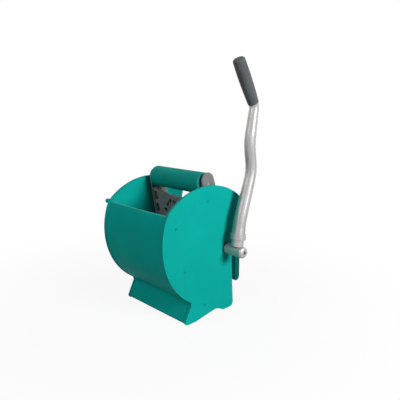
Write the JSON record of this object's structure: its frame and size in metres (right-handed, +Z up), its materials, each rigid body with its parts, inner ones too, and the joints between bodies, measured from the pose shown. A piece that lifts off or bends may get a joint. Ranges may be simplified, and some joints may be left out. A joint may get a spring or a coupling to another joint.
{
  "type": "roller mop wringer",
  "caption": "Free-standing mop wringer: a roller on a forked carrier swings down into a curved drum when its side lever is pulled, and squeezes the mop.",
  "frame": {"origin": "middle of the front foot's sole strip, on the floor, midway between the side plates", "axes": "+Z up, +X along the roller towards the lever, +Y from the front foot to the rear"},
  "size_m": [0.3295, 0.2929, 0.6665],
  "materials": {
    "teal_plastic": "moulded, fine grain, satin",
    "dark_teal_plastic": "moulded, fine grain",
    "roller_rubber": "smooth, dull",
    "grey_plastic": "moulded, fine grain",
    "bearing_plastic": "smooth",
    "black_rubber": "dull",
    "grip_rubber": "dull, fine grain",
    "steel": "turned, bright",
    "spring_steel": "oiled",
    "cast_aluminium": "tumbled, satin",
    "tube_aluminium": "drawn, with lengthwise streaks"
  },
  "bodies": {
    "frame": {"drum_body": "teal_plastic", "right_end_wall": "teal_plastic", "left_end_wall": "teal_plastic", "right_side_plate": "teal_plastic", "left_side_plate": "teal_plastic", "rear_cover": "dark_teal_plastic", "left_peg": "teal_plastic", "right_plate_screws": "teal_plastic", "left_plate_screws": "teal_plastic", "lower_tie_bar": "spring_steel", "stop_bar": "spring_steel", "stop_sleeves": "black_rubber", "right_shaft_bush": "bearing_plastic", "left_shaft_bush": "bearing_plastic", "return_spring": "spring_steel"},
    "carriage": {"cross_shaft": "steel", "shaft_washer": "steel", "shaft_circlip": "spring_steel", "roller_yoke": "grey_plastic", "yoke_pins": "steel", "axle_grub_screws": "spring_steel", "roller_axle": "steel", "axle_spacer": "bearing_plastic", "lever_hub": "cast_aluminium", "hub_set_screw": "spring_steel", "hub_cap_screw": "steel", "lever_collar": "cast_aluminium", "lever_tube": "tube_aluminium", "lever_grip": "grip_rubber"},
    "roller": {"roller_sleeve": "roller_rubber", "roller_core": "grey_plastic", "roller_right_cap": "teal_plastic", "roller_left_cap": "teal_plastic", "roller_bushes": "bearing_plastic"}
  },
  "joints": [
    {"name": "lever_swing", "type": "hinge", "parent": "frame", "child": "carriage", "pos_m": [0, 0.124, 0.175], "axis": [1, 0, 0], "range_deg": [0, 58], "stiffness_Nm_per_rad": 2, "springref_deg": -28.65, "deforming": ["return_spring"]},
    {"name": "roller_spin", "type": "hinge", "parent": "carriage", "child": "roller", "pos_m": [0, 0.07002, 0.353], "axis": [1, 0, 0], "continuous": true}
  ]
}
